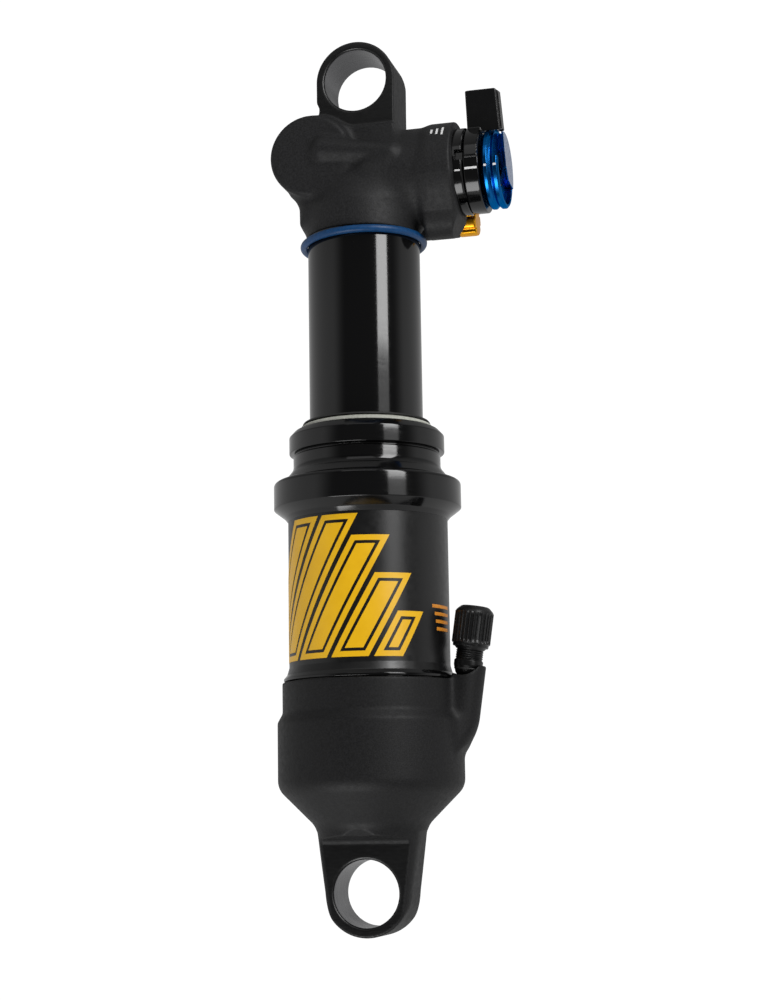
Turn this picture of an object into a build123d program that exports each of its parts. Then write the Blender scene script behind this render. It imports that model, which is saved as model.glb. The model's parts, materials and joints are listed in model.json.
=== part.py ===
from build123d import *
import math
import os

# Rear air shock for a bicycle, in millimetres.  The origin is the centre of the lower eye.
# +Z runs up the shock to the upper eye, +X is the adjuster and air valve side, and both
# eye bores lie along Y.  The can side holds still and the damper side slides down over it.

os.makedirs("parts", exist_ok=True)

# ---- driving dimensions -------------------------------------------------------------
EYE_TO_EYE = 190.0
STROKE = 42.5
EYE_BORE_R = 7.5
EYE_WIDTH = 12.7
EYE_CHAMFER = 0.4
RUNNING_GAP = 0.05  # radial gap of a sliding or turning fit
BODY_GAP = 0.3  # gap between bodies that do not guide each other

# can side
LUG_END_Z = -9.74
LUG_END_R = 10.0
LUG_TURNED_R = 11.05
LUG_FLAT_TOP_Z = 11.8
CONE_BOTTOM_R = 12.6
CONE_BOTTOM_Z = 14.7
CAP_R = 21.3
CAP_RIM_R = 20.13
CAP_FLOOR_Z = 24.0
CAP_TOP_Z = 47.6
CAP_STEP_Z = 39.0
SPACER_BORE_R = 18.0
CAN_R = 18.5
CAN_BORE_R = 16.5
CAN_SPIGOT_R = 18.2
CAN_BOTTOM_Z = 40.0
CAN_SHOULDER_Z = 84.5
CAN_TOP_SPIGOT_R = 17.8
CAN_TOP_Z = 92.0
FLANGE_R = 21.75
SEAL_NECK_R = 17.15
SEAL_RING_R = 18.1
SEAL_HEAD_TOP_Z = 106.0
WIPER_TOP_Z = 107.8
WIPER_R = 15.6

# damper side
TUBE_R = 13.25
TUBE_BORE_R = 11.5
TUBE_BOTTOM_Z = 79.0
TUBE_SPIGOT_R = 12.6
HEAD_BOTTOM_Z = 152.2
TUBE_TOP_Z = 160.3
BUMPER_TOP_Z = CAP_FLOOR_Z + 3.4
AIR_PISTON_BOTTOM_Z = BUMPER_TOP_Z + STROKE + 0.6
AIR_PISTON_TOP_Z = 83.0
SHAFT_R = 4.0
SHAFT_THREAD_R = 3.0
SHAFT_BOTTOM_Z = 14.0
SHAFT_TOP_Z = 100.0
PISTON_Z = 88.0
PISTON_LENGTH = 6.5
COLLAR_R = 13.5
BARREL_R = 11.6
BARREL_Z = 166.5
BARREL_END_X = 23.75
CARTRIDGE_BORE_R = 8.6
UPPER_EYE_R = 9.5
CHIN_X = 15.35

# reservoir with its floating piston, along Y on the left of the head
RESERVOIR_X = -10.2
RESERVOIR_Z = 171.2
RESERVOIR_R = 9.9
RESERVOIR_BORE_R = 8.5
RESERVOIR_FRONT_Y = -10.0
RESERVOIR_BACK_Y = 13.3
FLOATING_PISTON_Y = -6.5
FLOATING_PISTON_LENGTH = 5.0

# adjusters
CARTRIDGE_FLANGE_R = 10.3
FLANGE_END_X = 26.35
LEVER_RING_R = 10.0
LEVER_HUB_R = 6.0
LEVER_X = 26.55
LEVER_END_X = 30.1
LEVER_REST_TURN = 12.0
KNOB_HUB_R = 4.0
KNOB_R = 9.3
KNOB_X = 30.45
KNOB_END_X = 34.6
REBOUND_Y = 10.8
REBOUND_Z = 157.6
REBOUND_KNOB_R = 3.4
REBOUND_END_X = 25.6
REBOUND_BOSS_R = 3.4

# air valve, on an axis that leans outwards as it rises
VALVE_TILT = 8.5
VALVE_X = 24.4
VALVE_Z = 59.5
VALVE_BOSS_R = 4.1
VALVE_STEM_R = 3.15
VALVE_ROOT_R = 2.2
VALVE_THREAD_R = 3.75
VALVE_CAP_R = 4.4

LOW = (Align.CENTER, Align.CENTER, Align.MIN)
VALVE_PLANE = Plane(
    origin=(VALVE_X, 0, VALVE_Z),
    x_dir=(math.cos(math.radians(VALVE_TILT)), 0, -math.sin(math.radians(VALVE_TILT))),
    z_dir=(math.sin(math.radians(VALVE_TILT)), 0, math.cos(math.radians(VALVE_TILT))),
)


# ---- helpers ------------------------------------------------------------------------
def rod(radius, low, high):
    """Cylinder about Z from height low to height high."""
    return Pos(0, 0, low) * Cylinder(radius, high - low, align=LOW)


def ring(outer, inner, low, high):
    """Plain ring about Z."""
    return rod(outer, low, high) - rod(inner, low - 1, high + 1)


def turned(points):
    """Solid turned about Z from an outline of (radius, height) points."""
    outline = Polyline(*[(r, 0, z) for r, z in points], close=True)
    return revolve(make_face(outline), Axis.Z, 360)


def o_ring(radius, section, z):
    """O-ring about Z whose section has the given radius."""
    return Pos(0, 0, z) * Torus(radius, section)


def along_x(shape, y=0.0, z=BARREL_Z):
    """Lays a shape made about Z along X instead, so that its heights become X."""
    return Pos(0, y, z) * Rot(0, 90, 0) * shape


def along_y(shape, x=0.0, z=0.0):
    """Lays a shape made about Z along Y instead, so that its heights become Y."""
    return Pos(x, 0, z) * Rot(-90, 0, 0) * shape


def on_valve(shape):
    """Puts a shape made about Z onto the air valve's leaning axis."""
    return VALVE_PLANE.location * shape


def spread(shape, count, start=0.0):
    """Copies of a shape at equal turns about Z."""
    return [Rot(0, 0, start + 360 * i / count) * shape for i in range(count)]


def block(x0, x1, y0, y1, z0, z1):
    """Box between two corners."""
    middle = ((x0 + x1) / 2, (y0 + y1) / 2, (z0 + z1) / 2)
    return Pos(*middle) * Box(x1 - x0, y1 - y0, z1 - z0)


def prism_xz(points, y0, y1):
    """Flat plate whose XZ outline is given, from y0 to y1."""
    outline = Polyline(*[(x, y0, z) for x, z in points], close=True)
    return extrude(make_face(outline), amount=y1 - y0, dir=(0, 1, 0))


def eye_cutter(z):
    """Eye bore along Y with a chamfer at each face."""
    half = EYE_WIDTH / 2
    mouth = EYE_BORE_R + 2 * EYE_CHAMFER
    bore = along_y(rod(EYE_BORE_R, -half - 1, half + 1), z=z)
    front = along_y(Pos(0, 0, -half) * Cone(mouth, EYE_BORE_R, 2 * EYE_CHAMFER), z=z)
    back = along_y(Pos(0, 0, half) * Cone(EYE_BORE_R, mouth, 2 * EYE_CHAMFER), z=z)
    return bore + front + back


def save(name, shape):
    """Writes one node."""
    export_step(shape, f"parts/{name}.step")


# ---- can side -----------------------------------------------------------------------
def lug_outline():
    """Outline of the lower eye's lug, seen along Y: a round end with sides that flare out."""
    centre_z = LUG_END_Z + LUG_END_R
    outline = prism_xz([(-10.0, 0.26), (-12.12, 14), (12.12, 14), (10.0, 0.26)], -30, 30)
    return outline + along_y(rod(LUG_END_R, -30, 30), z=centre_z)


def can_end_cap():
    """End cap: lower eye, 45 degree cone, can thread and the boss of the air valve."""
    body = turned(
        [
            (0, -12),
            (LUG_TURNED_R - 1.3, -12),
            (CONE_BOTTOM_R, CONE_BOTTOM_Z),
            (CAP_R, CONE_BOTTOM_Z + CAP_R - CONE_BOTTOM_R),
            (CAP_R, 38.4),
            (CAP_RIM_R, 40.2),
            (CAP_RIM_R, CAP_TOP_Z),
            (0, CAP_TOP_Z),
        ]
    )
    corners = body.edges().filter_by(GeomType.CIRCLE).filter_by_position(Axis.Z, 14, 24)
    body = fillet(corners, 3.5)
    body -= block(-25, 25, -25, 25, -15, 10) - lug_outline()
    for side in (-1, 1):
        near = side * EYE_WIDTH / 2
        far = side * 25
        body -= block(-25, 25, min(near, far), max(near, far), -15, LUG_FLAT_TOP_Z)
    body -= eye_cutter(0)

    boss = on_valve(rod(VALVE_BOSS_R, -25.5, -9.6))
    boss -= block(0, 40, -10, 10, 20, 31.0)
    undercut = [(21.3, 31.0), (24.2, 34.2), (40, 34.2), (40, 20), (21.3, 20)]
    boss -= prism_xz(undercut, -10, 10)
    body += boss
    body -= rod(20.1, CAP_TOP_Z, 60)
    body -= rod(SPACER_BORE_R, CAP_FLOOR_Z, CAP_STEP_Z)
    body -= rod(CAN_SPIGOT_R + RUNNING_GAP, CAP_STEP_Z, CAP_TOP_Z + 1)
    body -= rod(SHAFT_R, SHAFT_BOTTOM_Z, CAP_FLOOR_Z + 1)
    body -= on_valve(rod(VALVE_ROOT_R + RUNNING_GAP, -16.0, -5))
    body -= on_valve(rod(3.4, -10.3, -5))
    body -= on_valve(rod(1.2, -23.5, -15))
    body -= Pos(17, 0, 37.4) * Rot(0, 90, 0) * Cylinder(1.2, 4, align=LOW)
    return body


def air_can():
    """Sleeve of the air chamber, with a glossy flared lip and a screwed end at each end."""
    body = turned(
        [
            (CAN_BORE_R, CAN_BOTTOM_Z),
            (CAN_SPIGOT_R, CAN_BOTTOM_Z),
            (CAN_SPIGOT_R, CAP_TOP_Z),
            (19.8, CAP_TOP_Z),
            (19.8, 48.1),
            (19.1, 49.0),
            (18.55, 50.0),
            (CAN_R, 50.8),
            (CAN_R, CAN_SHOULDER_Z),
            (CAN_TOP_SPIGOT_R, CAN_SHOULDER_Z),
            (CAN_TOP_SPIGOT_R, CAN_TOP_Z),
            (CAN_BORE_R, CAN_TOP_Z),
        ]
    )
    body -= ring(CAN_SPIGOT_R + 1, CAN_SPIGOT_R - 0.9, 42.4, 43.6)
    return body - ring(CAN_TOP_SPIGOT_R + 1, CAN_TOP_SPIGOT_R - 0.7, 88.9, 90.1)


def seal_head():
    """Flanged head of the can that holds the bush, the main seal and the wiper."""
    bore = TUBE_R + BODY_GAP
    body = turned(
        [
            (CAN_TOP_SPIGOT_R + RUNNING_GAP, CAN_SHOULDER_Z),
            (CAN_R, CAN_SHOULDER_Z),
            (19.6, 86.0),
            (FLANGE_R, 87.4),
            (FLANGE_R, 92.6),
            (FLANGE_R - 0.9, 93.5),
            (19.0, 94.3),
            (17.7, 95.6),
            (SEAL_NECK_R, 97.0),
            (SEAL_NECK_R, 99.8),
            (16.8, 99.9),
            (16.8, 100.2),
            (SEAL_RING_R, 100.4),
            (SEAL_RING_R, 104.2),
            (17.5, 104.9),
            (16.0, SEAL_HEAD_TOP_Z),
            (bore, SEAL_HEAD_TOP_Z),
            (bore, CAN_TOP_Z + 0.2),
            (CAN_TOP_SPIGOT_R + RUNNING_GAP, CAN_TOP_Z + 0.2),
        ]
    )
    body -= ring(WIPER_R, 5, 103.0, 110)
    body -= ring(WIPER_R, 5, 99.2, 101.7)
    return body - ring(14.4, 5, 93.5, 98.5)


def wiper_lip():
    """Black rubber lip that scrapes the tube, with a thin flange over the carrier."""
    bore = TUBE_R + RUNNING_GAP
    return turned(
        [
            (bore, 103.6),
            (13.95, 103.6),
            (13.95, 107.35),
            (15.0, 107.35),
            (15.0, 107.6),
            (14.6, WIPER_TOP_Z),
            (bore, WIPER_TOP_Z),
        ]
    )


def wiper_carrier():
    """Pale ring that backs the wiper lip."""
    return turned(
        [
            (14.0, 103.05),
            (WIPER_R - 0.02, 103.05),
            (WIPER_R - 0.02, 106.9),
            (15.2, 107.35),
            (14.0, 107.35),
        ]
    )


def damper_shaft():
    """Shaft screwed into the end cap, with a seal groove and a stepped top for the piston."""
    body = rod(SHAFT_R, SHAFT_BOTTOM_Z, 86.6) + rod(7.0, CAP_FLOOR_Z, 26.5)
    body -= ring(SHAFT_R + 1, 3.4, 20.0, 20.8)
    body += rod(SHAFT_THREAD_R, 86.6, SHAFT_TOP_Z)
    body -= rod(1.2, 40, SHAFT_TOP_Z + 1)
    bleed = Pos(0, 0, 84.6) * Rot(90, 0, 0) * Cylinder(0.8, 12)
    return body - bleed


def main_piston():
    """Damping piston with ports, held on the shaft's stepped top."""
    body = ring(TUBE_BORE_R - BODY_GAP, SHAFT_THREAD_R, PISTON_Z, PISTON_Z + PISTON_LENGTH)
    for port in spread(Pos(7.2, 0, PISTON_Z - 1) * Cylinder(1.2, 10, align=LOW), 6):
        body -= port
    return body - ring(TUBE_BORE_R + 1, 10.4, PISTON_Z + 2.0, PISTON_Z + 4.6)


def shim_stack(low, step, radii):
    """Stack of thin discs on the shaft, one solid each."""
    discs = [
        ring(r, SHAFT_THREAD_R, low + i * step, low + (i + 1) * step) for i, r in enumerate(radii)
    ]
    return Compound(children=discs)


def piston_nut():
    """Hexagon nut that clamps the main piston."""
    body = Pos(0, 0, 95.9) * extrude(RegularPolygon(5.2, 6), amount=3.4)
    return body - rod(SHAFT_THREAD_R, 95, SHAFT_TOP_Z)


def valve_stem():
    """Stem of the air valve: bowl-shaped base, narrow neck and threaded top."""
    profile = [
        (0, -15.6),
        (VALVE_ROOT_R, -15.6),
        (VALVE_ROOT_R, -9.6),
        (3.2, -9.6),
        (3.5, -8.9),
        (VALVE_STEM_R, -8.0),
        (VALVE_STEM_R, -5.6),
        (VALVE_THREAD_R, -4.9),
        (VALVE_THREAD_R, 2.0),
        (3.3, 2.4),
        (0, 2.4),
    ]
    body = turned(profile) - rod(1.9, -12.5, 3)
    return on_valve(body - rod(1.2, -17, -12))


def valve_core():
    """Screwed-in core that guides the valve pin."""
    body = ring(1.85, 0.65, -6.0, 2.0) - rod(1.2, 0.6, 3)
    return on_valve(body)


def valve_pin():
    """Pin that opens the valve when it is pushed in, with its seat below the core."""
    body = rod(0.6, -7.2, 2.1) + rod(1.0, 1.7, 2.3) + rod(1.5, -7.2, -6.1)
    return on_valve(body)


def valve_cap():
    """Knurled dust cap with a domed top."""
    low, high = -5.0, 4.55
    body = turned(
        [
            (0, low),
            (VALVE_CAP_R - 0.3, low),
            (VALVE_CAP_R, low + 0.4),
            (VALVE_CAP_R, high - 1.9),
            (VALVE_CAP_R - 0.55, high - 0.8),
            (VALVE_CAP_R - 1.7, high - 0.15),
            (0, high),
        ]
    )
    for groove in spread(Pos(VALVE_CAP_R + 0.12, 0, low - 1) * Cylinder(0.34, 8.3, align=LOW), 20):
        body -= groove
    body -= rod(VALVE_THREAD_R + RUNNING_GAP, low - 1, 3.3)
    return on_valve(body)


# ---- damper side --------------------------------------------------------------------
def damper_head():
    """Cast head: collar, cross barrel, reservoir, oil gallery, chin and upper eye."""
    collar = turned(
        [(0, HEAD_BOTTOM_Z), (COLLAR_R, HEAD_BOTTOM_Z), (COLLAR_R, 160), (11.9, 164.5), (0, 168)]
    )
    barrel = along_x(rod(BARREL_R, -9, BARREL_END_X))
    reservoir = along_y(
        rod(RESERVOIR_R, RESERVOIR_FRONT_Y, RESERVOIR_BACK_Y), x=RESERVOIR_X, z=RESERVOIR_Z
    )
    reservoir = fillet(reservoir.edges().filter_by(GeomType.CIRCLE), 1.4)
    web = prism_xz([(-13.9, 158), (-16.6, 163.6), (-9, 172), (4, 164), (4, 158)], -6.5, 6.5)
    neck = prism_xz(
        [(-8.9, 172), (-8.9, EYE_TO_EYE), (9.45, EYE_TO_EYE), (9.45, 181), (10.1, 172)],
        -EYE_WIDTH / 2,
        EYE_WIDTH / 2,
    )
    eye = along_y(rod(UPPER_EYE_R, -EYE_WIDTH / 2, EYE_WIDTH / 2), z=EYE_TO_EYE)
    chin = along_x(rod(5.4, CHIN_X, BARREL_END_X), y=-1.0, z=155.9)
    chin += block(9, BARREL_END_X, -6.4, 4.4, 155.9, 163)
    chin -= prism_xz([(21.8, 150), (24.0, 154.2), (30, 154.2), (30, 140), (21.8, 140)], -20, 20)
    boss = along_x(rod(REBOUND_BOSS_R, 6, 21.0), y=REBOUND_Y, z=REBOUND_Z)
    boss += block(8, 21.0, 4, REBOUND_Y + 2.4, REBOUND_Z, 163)
    gallery = along_x(rod(2.6, -10, 9), y=-9.3, z=172.0)
    gallery = fillet(gallery.edges().filter_by(GeomType.CIRCLE), 2.0)

    body = collar + barrel + reservoir + web + neck + eye + chin + boss + gallery
    body -= eye_cutter(EYE_TO_EYE)
    body -= rod(TUBE_SPIGOT_R + 0.05, HEAD_BOTTOM_Z - 5, 160.5)
    body -= along_x(rod(CARTRIDGE_BORE_R + 0.05, 14, 30))
    body -= along_x(rod(5.0, 1.2, 15))
    body -= Pos(5, 0, 159) * Cylinder(2.5, 5, align=LOW)
    body -= along_y(rod(RESERVOIR_BORE_R, -8, 20), x=RESERVOIR_X, z=RESERVOIR_Z)
    body -= along_x(rod(1.1, -9, 9), y=-9.3, z=172.0)
    for cross_x, cross_end in ((RESERVOIR_X + 1.5, -7.0), (7.2, -4.0)):
        body -= along_y(rod(0.8, -9.4, cross_end), x=cross_x, z=172.0)
    body -= along_x(rod(4.0, 8, 14.5))
    body -= along_x(rod(2.55, 9.6, 30), y=REBOUND_Y, z=REBOUND_Z)
    body -= along_x(rod(REBOUND_KNOB_R + BODY_GAP, 21.0, 30), y=REBOUND_Y, z=REBOUND_Z)
    return body - along_x(rod(0.7, 3, 12), y=REBOUND_Y, z=REBOUND_Z)


def damper_tube():
    """Tube that the can slides over: a spigot in the head and a thread for the air piston."""
    body = ring(TUBE_R, TUBE_BORE_R, TUBE_BOTTOM_Z, HEAD_BOTTOM_Z)
    body += ring(TUBE_SPIGOT_R, TUBE_BORE_R, HEAD_BOTTOM_Z, TUBE_TOP_Z)
    return body - ring(TUBE_SPIGOT_R + 1, TUBE_SPIGOT_R - 0.55, 156.4, 157.4)


def air_piston():
    """Piston of the air spring, screwed into the tube, with the shaft's guide inside."""
    body = rod(CAN_BORE_R - BODY_GAP, AIR_PISTON_BOTTOM_Z, TUBE_BOTTOM_Z)
    body += rod(TUBE_BORE_R - 0.05, TUBE_BOTTOM_Z, AIR_PISTON_TOP_Z)
    body -= ring(20, 14.2, 73.0, 75.4)
    body -= ring(20, 15.6, 76.2, 78.2)
    body -= rod(SHAFT_R + BODY_GAP, 60, 90)
    body -= rod(6.2, 71.4, 74.2)
    return body - rod(5.2, 75.2, 84)


def valve_cartridge():
    """Black cartridge screwed into the barrel: notched flange and a stepped hub."""
    lever_hub_end = LEVER_END_X + 0.15
    body = rod(CARTRIDGE_BORE_R, 14.2, BARREL_END_X)
    body += rod(CARTRIDGE_FLANGE_R, BARREL_END_X, FLANGE_END_X)
    body += rod(LEVER_HUB_R, FLANGE_END_X, lever_hub_end) + rod(KNOB_HUB_R, lever_hub_end, 33.4)
    body -= ring(20, 7.8, 18.0, 19.6)
    for notch in spread(Pos(CARTRIDGE_FLANGE_R, 0, 24.8) * Box(2.2, 2.6, 5, align=LOW), 6, 24):
        body -= notch
    body -= Pos(8.5, 0, 24.2) * Cylinder(0.85, 4, align=LOW)
    body -= ring(20, 3.3, 32.3, 32.9)
    return along_x(body - rod(1.6 + RUNNING_GAP, 10, 40))


def valve_block():
    """Block at the bottom of the barrel bore that the compression needle throttles."""
    body = rod(4.95, 2.6, 12.0)
    for port in spread(Pos(3.4, 0, 0) * Cylinder(0.7, 14, align=LOW), 6):
        body -= port
    return along_x(body - rod(1.9, 0, 14))


def climb_lever():
    """Lever: a collar that turns on the cartridge and a deep paddle that leans forwards."""
    collar = ring(LEVER_RING_R, LEVER_HUB_R + RUNNING_GAP, LEVER_X, LEVER_END_X)
    body = along_x(collar)
    paddle = prism_xz([(27.1, 172.0), (27.1, 184.9), (34.1, 184.9), (34.7, 172.0)], -3.2, 2.6)
    paddle = fillet(paddle.edges().filter_by_position(Axis.Z, 184, 186), 0.5)
    paddle -= block(33.0, 36, -2.2, -1.4, 170, 190)
    paddle -= along_x(rod(KNOB_R + BODY_GAP, LEVER_END_X, 40))
    paddle -= along_x(rod(8.5, 20, 40))
    about_axis = Pos(0, 0, BARREL_Z) * Rot(LEVER_REST_TURN, 0, 0) * Pos(0, 0, -BARREL_Z)
    return body + about_axis * paddle


def compression_knob():
    """Blue knob: two ridges with a V groove, a finger scallop and a cupped face."""
    body = turned(
        [
            (KNOB_HUB_R + RUNNING_GAP, KNOB_X),
            (8.5, KNOB_X),
            (8.9, 30.8),
            (KNOB_R, 31.2),
            (KNOB_R, 31.9),
            (8.6, 32.6),
            (8.6, 32.8),
            (KNOB_R, 33.4),
            (KNOB_R, 34.2),
            (8.9, KNOB_END_X),
            (8.3, KNOB_END_X),
            (8.2, 33.2),
            (KNOB_HUB_R + RUNNING_GAP, 33.2),
        ]
    )
    body += rod(8.25, 33.5, 33.9)
    scallop = Pos(-9.6, -6.6, KNOB_X + 0.8) * Cylinder(5.4, 20, align=LOW)
    return along_x(body - scallop)


def knob_face():
    """Pale textured face of the knob: a raised sector above a recess at the lower front."""
    body = rod(8.2, 33.95, 34.8)
    recess = Pos(3.4, -5.6, 33) * Cylinder(6.9, 8)
    scallop = Pos(-9.6, -6.6, 30) * Cylinder(5.45, 20)
    return along_x(body - recess - scallop)


def rebound_knob():
    """Gold knob with flutes along its length and a rounded end."""
    body = rod(REBOUND_KNOB_R, 21.25, REBOUND_END_X)
    body = fillet(body.edges().filter_by_position(Axis.Z, 25, 26), 0.5)
    for flute in spread(Pos(REBOUND_KNOB_R + 0.7, 0, 20) * Cylinder(1.3, 10, align=LOW), 6, 19):
        body -= flute
    body -= rod(1.0 + RUNNING_GAP, 20, 24.0)
    return along_x(body, y=REBOUND_Y, z=REBOUND_Z)


def reservoir_cap():
    """Screwed cap at the back of the reservoir with two spanner holes and a fill port."""
    body = rod(RESERVOIR_BORE_R - 0.02, 9.2, RESERVOIR_BACK_Y - 0.6)
    body -= ring(20, RESERVOIR_BORE_R - 0.9, 10.0, 11.2)
    for hole in spread(Pos(5.4, 0, 11.6) * Cylinder(0.9, 3, align=LOW), 2):
        body -= hole
    body -= rod(1.6, 8, 14)
    return along_y(body, x=RESERVOIR_X, z=RESERVOIR_Z)


def gas_fill_screw():
    """Socket screw that closes the gas fill port."""
    body = rod(1.55, 9.4, 12.4)
    socket = Pos(0, 0, 11.4) * extrude(RegularPolygon(0.8, 6), amount=2)
    return along_y(body - socket, x=RESERVOIR_X, z=RESERVOIR_Z)


def floating_piston():
    """Piston that parts the oil from the gas."""
    low = FLOATING_PISTON_Y
    high = low + FLOATING_PISTON_LENGTH
    body = rod(RESERVOIR_BORE_R - RUNNING_GAP, low, high)
    body -= ring(20, 7.3, low + 1.8, low + 3.2)
    body -= rod(5.5, high - 2.2, high + 1)
    return along_y(body, x=RESERVOIR_X, z=RESERVOIR_Z)


def floating_piston_seal():
    """Square seal in the floating piston's groove."""
    low = FLOATING_PISTON_Y
    body = ring(RESERVOIR_BORE_R - 0.04, 7.3, low + 1.85, low + 3.15)
    return along_y(body, x=RESERVOIR_X, z=RESERVOIR_Z)


# ---- nodes that are plain rings and rods --------------------------------------------
SMALL_PARTS = {
    "can_lower_oring": o_ring(17.75, 0.45, 43.0),
    "can_upper_oring": o_ring(17.45, 0.35, 89.5),
    "can_main_seal": ring(15.5, TUBE_R + RUNNING_GAP, 99.3, 101.6),
    "can_bushing": ring(14.35, TUBE_R + RUNNING_GAP, 93.6, 98.4),
    "negative_bumper": ring(16.2, TUBE_R + BODY_GAP, 88.6, 92.1),
    "volume_spacer": ring(17.9, 16.75, 27.5, 37.0),
    "bottom_out_bumper": ring(14.5, 7.4, CAP_FLOOR_Z, BUMPER_TOP_Z),
    "shaft_oring": o_ring(3.7, 0.28, 20.4),
    "piston_band": ring(TUBE_BORE_R - RUNNING_GAP, 10.45, PISTON_Z + 2.05, PISTON_Z + 4.55),
    "rebound_shims": shim_stack(86.6, 0.35, [5.5, 6.5, 8.0, 9.5]),
    "compression_shims": shim_stack(94.5, 0.35, [9.5, 8.0, 6.5, 5.5]),
    "valve_stem_oring": on_valve(o_ring(2.8, 0.33, -9.95)),
    "cap_seal": on_valve(ring(3.6, 1.7, 2.5, 3.25)),
    "tube_oring": o_ring(12.35, 0.28, 156.9),
    "air_piston_seal": ring(CAN_BORE_R - RUNNING_GAP, 14.25, 73.1, 75.3),
    "air_piston_band": ring(CAN_BORE_R - RUNNING_GAP, 15.65, 76.25, 78.15),
    "shaft_bushing": ring(5.2, SHAFT_R + RUNNING_GAP, 75.2, 82.8),
    "shaft_seal": ring(6.2, SHAFT_R + RUNNING_GAP, 71.5, 74.1),
    "top_out_bumper": ring(9.5, SHAFT_R + BODY_GAP, AIR_PISTON_TOP_Z, 86.2),
    "cartridge_oring": along_x(o_ring(8.2, 0.4, 18.8)),
    "valve_shims": along_x(ring(4.4, 1.9, 1.5, 2.5)),
    "lever_detent": along_x(Pos(8.5, 0, 25.5) * Sphere(0.8)),
    "knob_retainer": along_x(ring(4.0, 3.35, 32.35, 32.85)),
    "compression_needle": along_x(rod(1.6, 5.0, 32.0)),
    "rebound_sleeve": along_x(ring(2.5, 1.05, 9.8, 21.1), y=REBOUND_Y, z=REBOUND_Z),
    "rebound_needle": along_x(rod(1.0, 12.0, 22.7), y=REBOUND_Y, z=REBOUND_Z),
    "reservoir_cap_oring": along_y(o_ring(8.05, 0.4, 10.6), x=RESERVOIR_X, z=RESERVOIR_Z),
    "travel_ring": o_ring(TUBE_R + 0.92, 0.88, HEAD_BOTTOM_Z - 0.95),
}

SHAPED_PARTS = [
    can_end_cap,
    air_can,
    seal_head,
    wiper_carrier,
    wiper_lip,
    damper_shaft,
    main_piston,
    piston_nut,
    valve_stem,
    valve_core,
    valve_pin,
    valve_cap,
    damper_head,
    damper_tube,
    air_piston,
    valve_cartridge,
    valve_block,
    climb_lever,
    compression_knob,
    knob_face,
    rebound_knob,
    reservoir_cap,
    gas_fill_screw,
    floating_piston,
    floating_piston_seal,
]

for maker in SHAPED_PARTS:
    save(maker.__name__, maker())
for part_name, part_shape in SMALL_PARTS.items():
    save(part_name, part_shape)
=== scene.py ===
import json
import math

import bmesh
import bpy
import numpy as np
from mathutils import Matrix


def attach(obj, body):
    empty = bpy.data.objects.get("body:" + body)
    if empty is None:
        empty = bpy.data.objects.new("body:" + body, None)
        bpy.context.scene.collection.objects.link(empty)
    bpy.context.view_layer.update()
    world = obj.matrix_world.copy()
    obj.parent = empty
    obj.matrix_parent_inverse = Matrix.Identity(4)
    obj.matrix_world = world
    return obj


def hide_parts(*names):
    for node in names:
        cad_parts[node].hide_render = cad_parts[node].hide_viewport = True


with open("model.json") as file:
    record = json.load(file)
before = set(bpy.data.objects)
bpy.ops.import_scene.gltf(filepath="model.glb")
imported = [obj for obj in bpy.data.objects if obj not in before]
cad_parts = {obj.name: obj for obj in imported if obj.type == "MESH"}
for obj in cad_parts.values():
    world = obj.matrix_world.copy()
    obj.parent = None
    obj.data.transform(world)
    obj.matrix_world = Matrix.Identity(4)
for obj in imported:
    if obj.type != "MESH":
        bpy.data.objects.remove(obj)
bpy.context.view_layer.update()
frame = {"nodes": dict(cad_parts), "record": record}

import openvdb
from mathutils import Matrix, Vector

# Looks of a bicycle rear air shock.  Lengths of the shock are in millimetres, in the CAD frame:
# the origin is the lower eye, +Z runs up the shock and +X is the side of the adjusters.  The
# camera is set in millimetres too, and the lamps in metres.
# Cast parts are blended from signed distance fields, turned parts are lathed outlines.  A corner
# of an outline is (u, v, radius): for turned parts u is the radius and v the height on the axis.

MM = 0.001
TURN = 2 * math.pi
SHARP_ANGLE = 32.0

# ---- driving dimensions, the same as the CAD's ---------------------------------------
UPPER_EYE_Z = 190.0
EYE_BORE_R = 7.5
EYE_HALF_WIDTH = 6.35
CAN_R = 18.5
CAP_R = 21.3
CAP_TOP_Z = 47.45
TUBE_R = 13.25
HEAD_BOTTOM_Z = 152.2
BARREL_Z = 166.5
BARREL_R = 11.95
BARREL_END_X = 23.75
FLANGE_R = 10.3
LEVER_RING_R = 10.0
KNOB_R = 9.3
CUP_FLOOR_X = 33.3
RESERVOIR = Vector((-10.2, 0.0, 171.2))
RESERVOIR_R = 9.9
UPPER_EYE_R = 9.5
REBOUND = Vector((0.0, 10.8, 157.6))
REBOUND_KNOB_R = 3.4
LEVER_TURN = math.radians(12)
VALVE = Vector((24.4, 0.0, 59.5))
VALVE_TILT = math.radians(8.5)

ALONG_X = Matrix(((0, 0, 1, 0), (0, 1, 0, 0), (-1, 0, 0, BARREL_Z), (0, 0, 0, 1)))
ALONG_REBOUND = Matrix.Translation(REBOUND - Vector((0, 0, BARREL_Z))) @ ALONG_X
ALONG_VALVE = Matrix.Translation(VALVE) @ Matrix.Rotation(VALVE_TILT, 4, "Y")
UPRIGHT = Matrix.Identity(4)


# ---- camera, lights and stage --------------------------------------------------------
def make_camera():
    """Camera a little below the middle of the shock, to its right, looking up at it."""
    right = Vector((0.96741, 0.25271, -0.01620))
    up = Vector((0.05571, -0.15001, 0.98712))
    backward = right.cross(up)
    camera = bpy.data.objects.new("camera", bpy.data.cameras.new("camera"))
    bpy.context.collection.objects.link(camera)
    turn = Matrix((right, up, backward)).transposed().to_4x4()
    camera.matrix_world = Matrix.Translation(Vector((118.67, -439.305, 16.275)) * MM) @ turn
    camera.data.lens = 71.31
    camera.data.sensor_width = 36.0
    camera.data.clip_start = 0.01
    bpy.context.scene.camera = camera


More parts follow.
